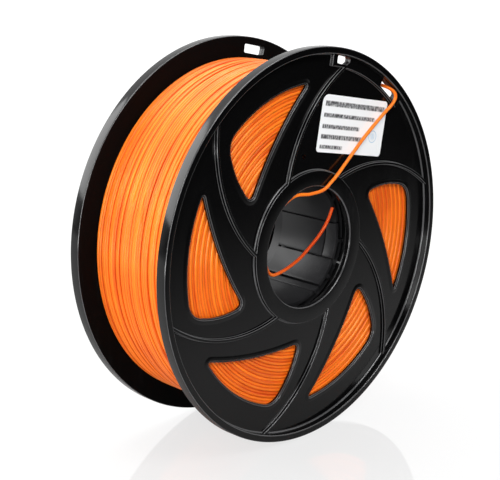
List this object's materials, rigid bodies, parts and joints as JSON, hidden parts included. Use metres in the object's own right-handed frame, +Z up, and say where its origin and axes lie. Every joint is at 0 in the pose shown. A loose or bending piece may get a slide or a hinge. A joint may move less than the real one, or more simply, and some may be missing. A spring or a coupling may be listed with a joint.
{
  "type": "3d printing filament spool",
  "caption": "Plastic filament spool with windowed swirl-ribbed flanges, an open slotted hub and wound filament whose free end is tucked into the bore.",
  "frame": {"origin": "centre of the spool, on its axis, midway between the two flanges", "axes": "+Y along the spool's axis, from the labelled flange to the plain one; +Z up, with the label near the top; +X to the right seen from the labelled side"},
  "size_m": [0.2, 0.0674, 0.2],
  "materials": {
    "spool_black": "moulded gloss",
    "core_black": "moulded semi-gloss",
    "filament_orange": "drawn satin-gloss, slightly translucent",
    "label_white": "coated paper"
  },
  "bodies": {
    "root": {"front_flange": "spool_black", "rear_flange": "spool_black", "hub_core": "core_black", "filament_winding": "filament_orange", "filament_tail": "filament_orange", "label": "label_white"}
  },
  "joints": []
}
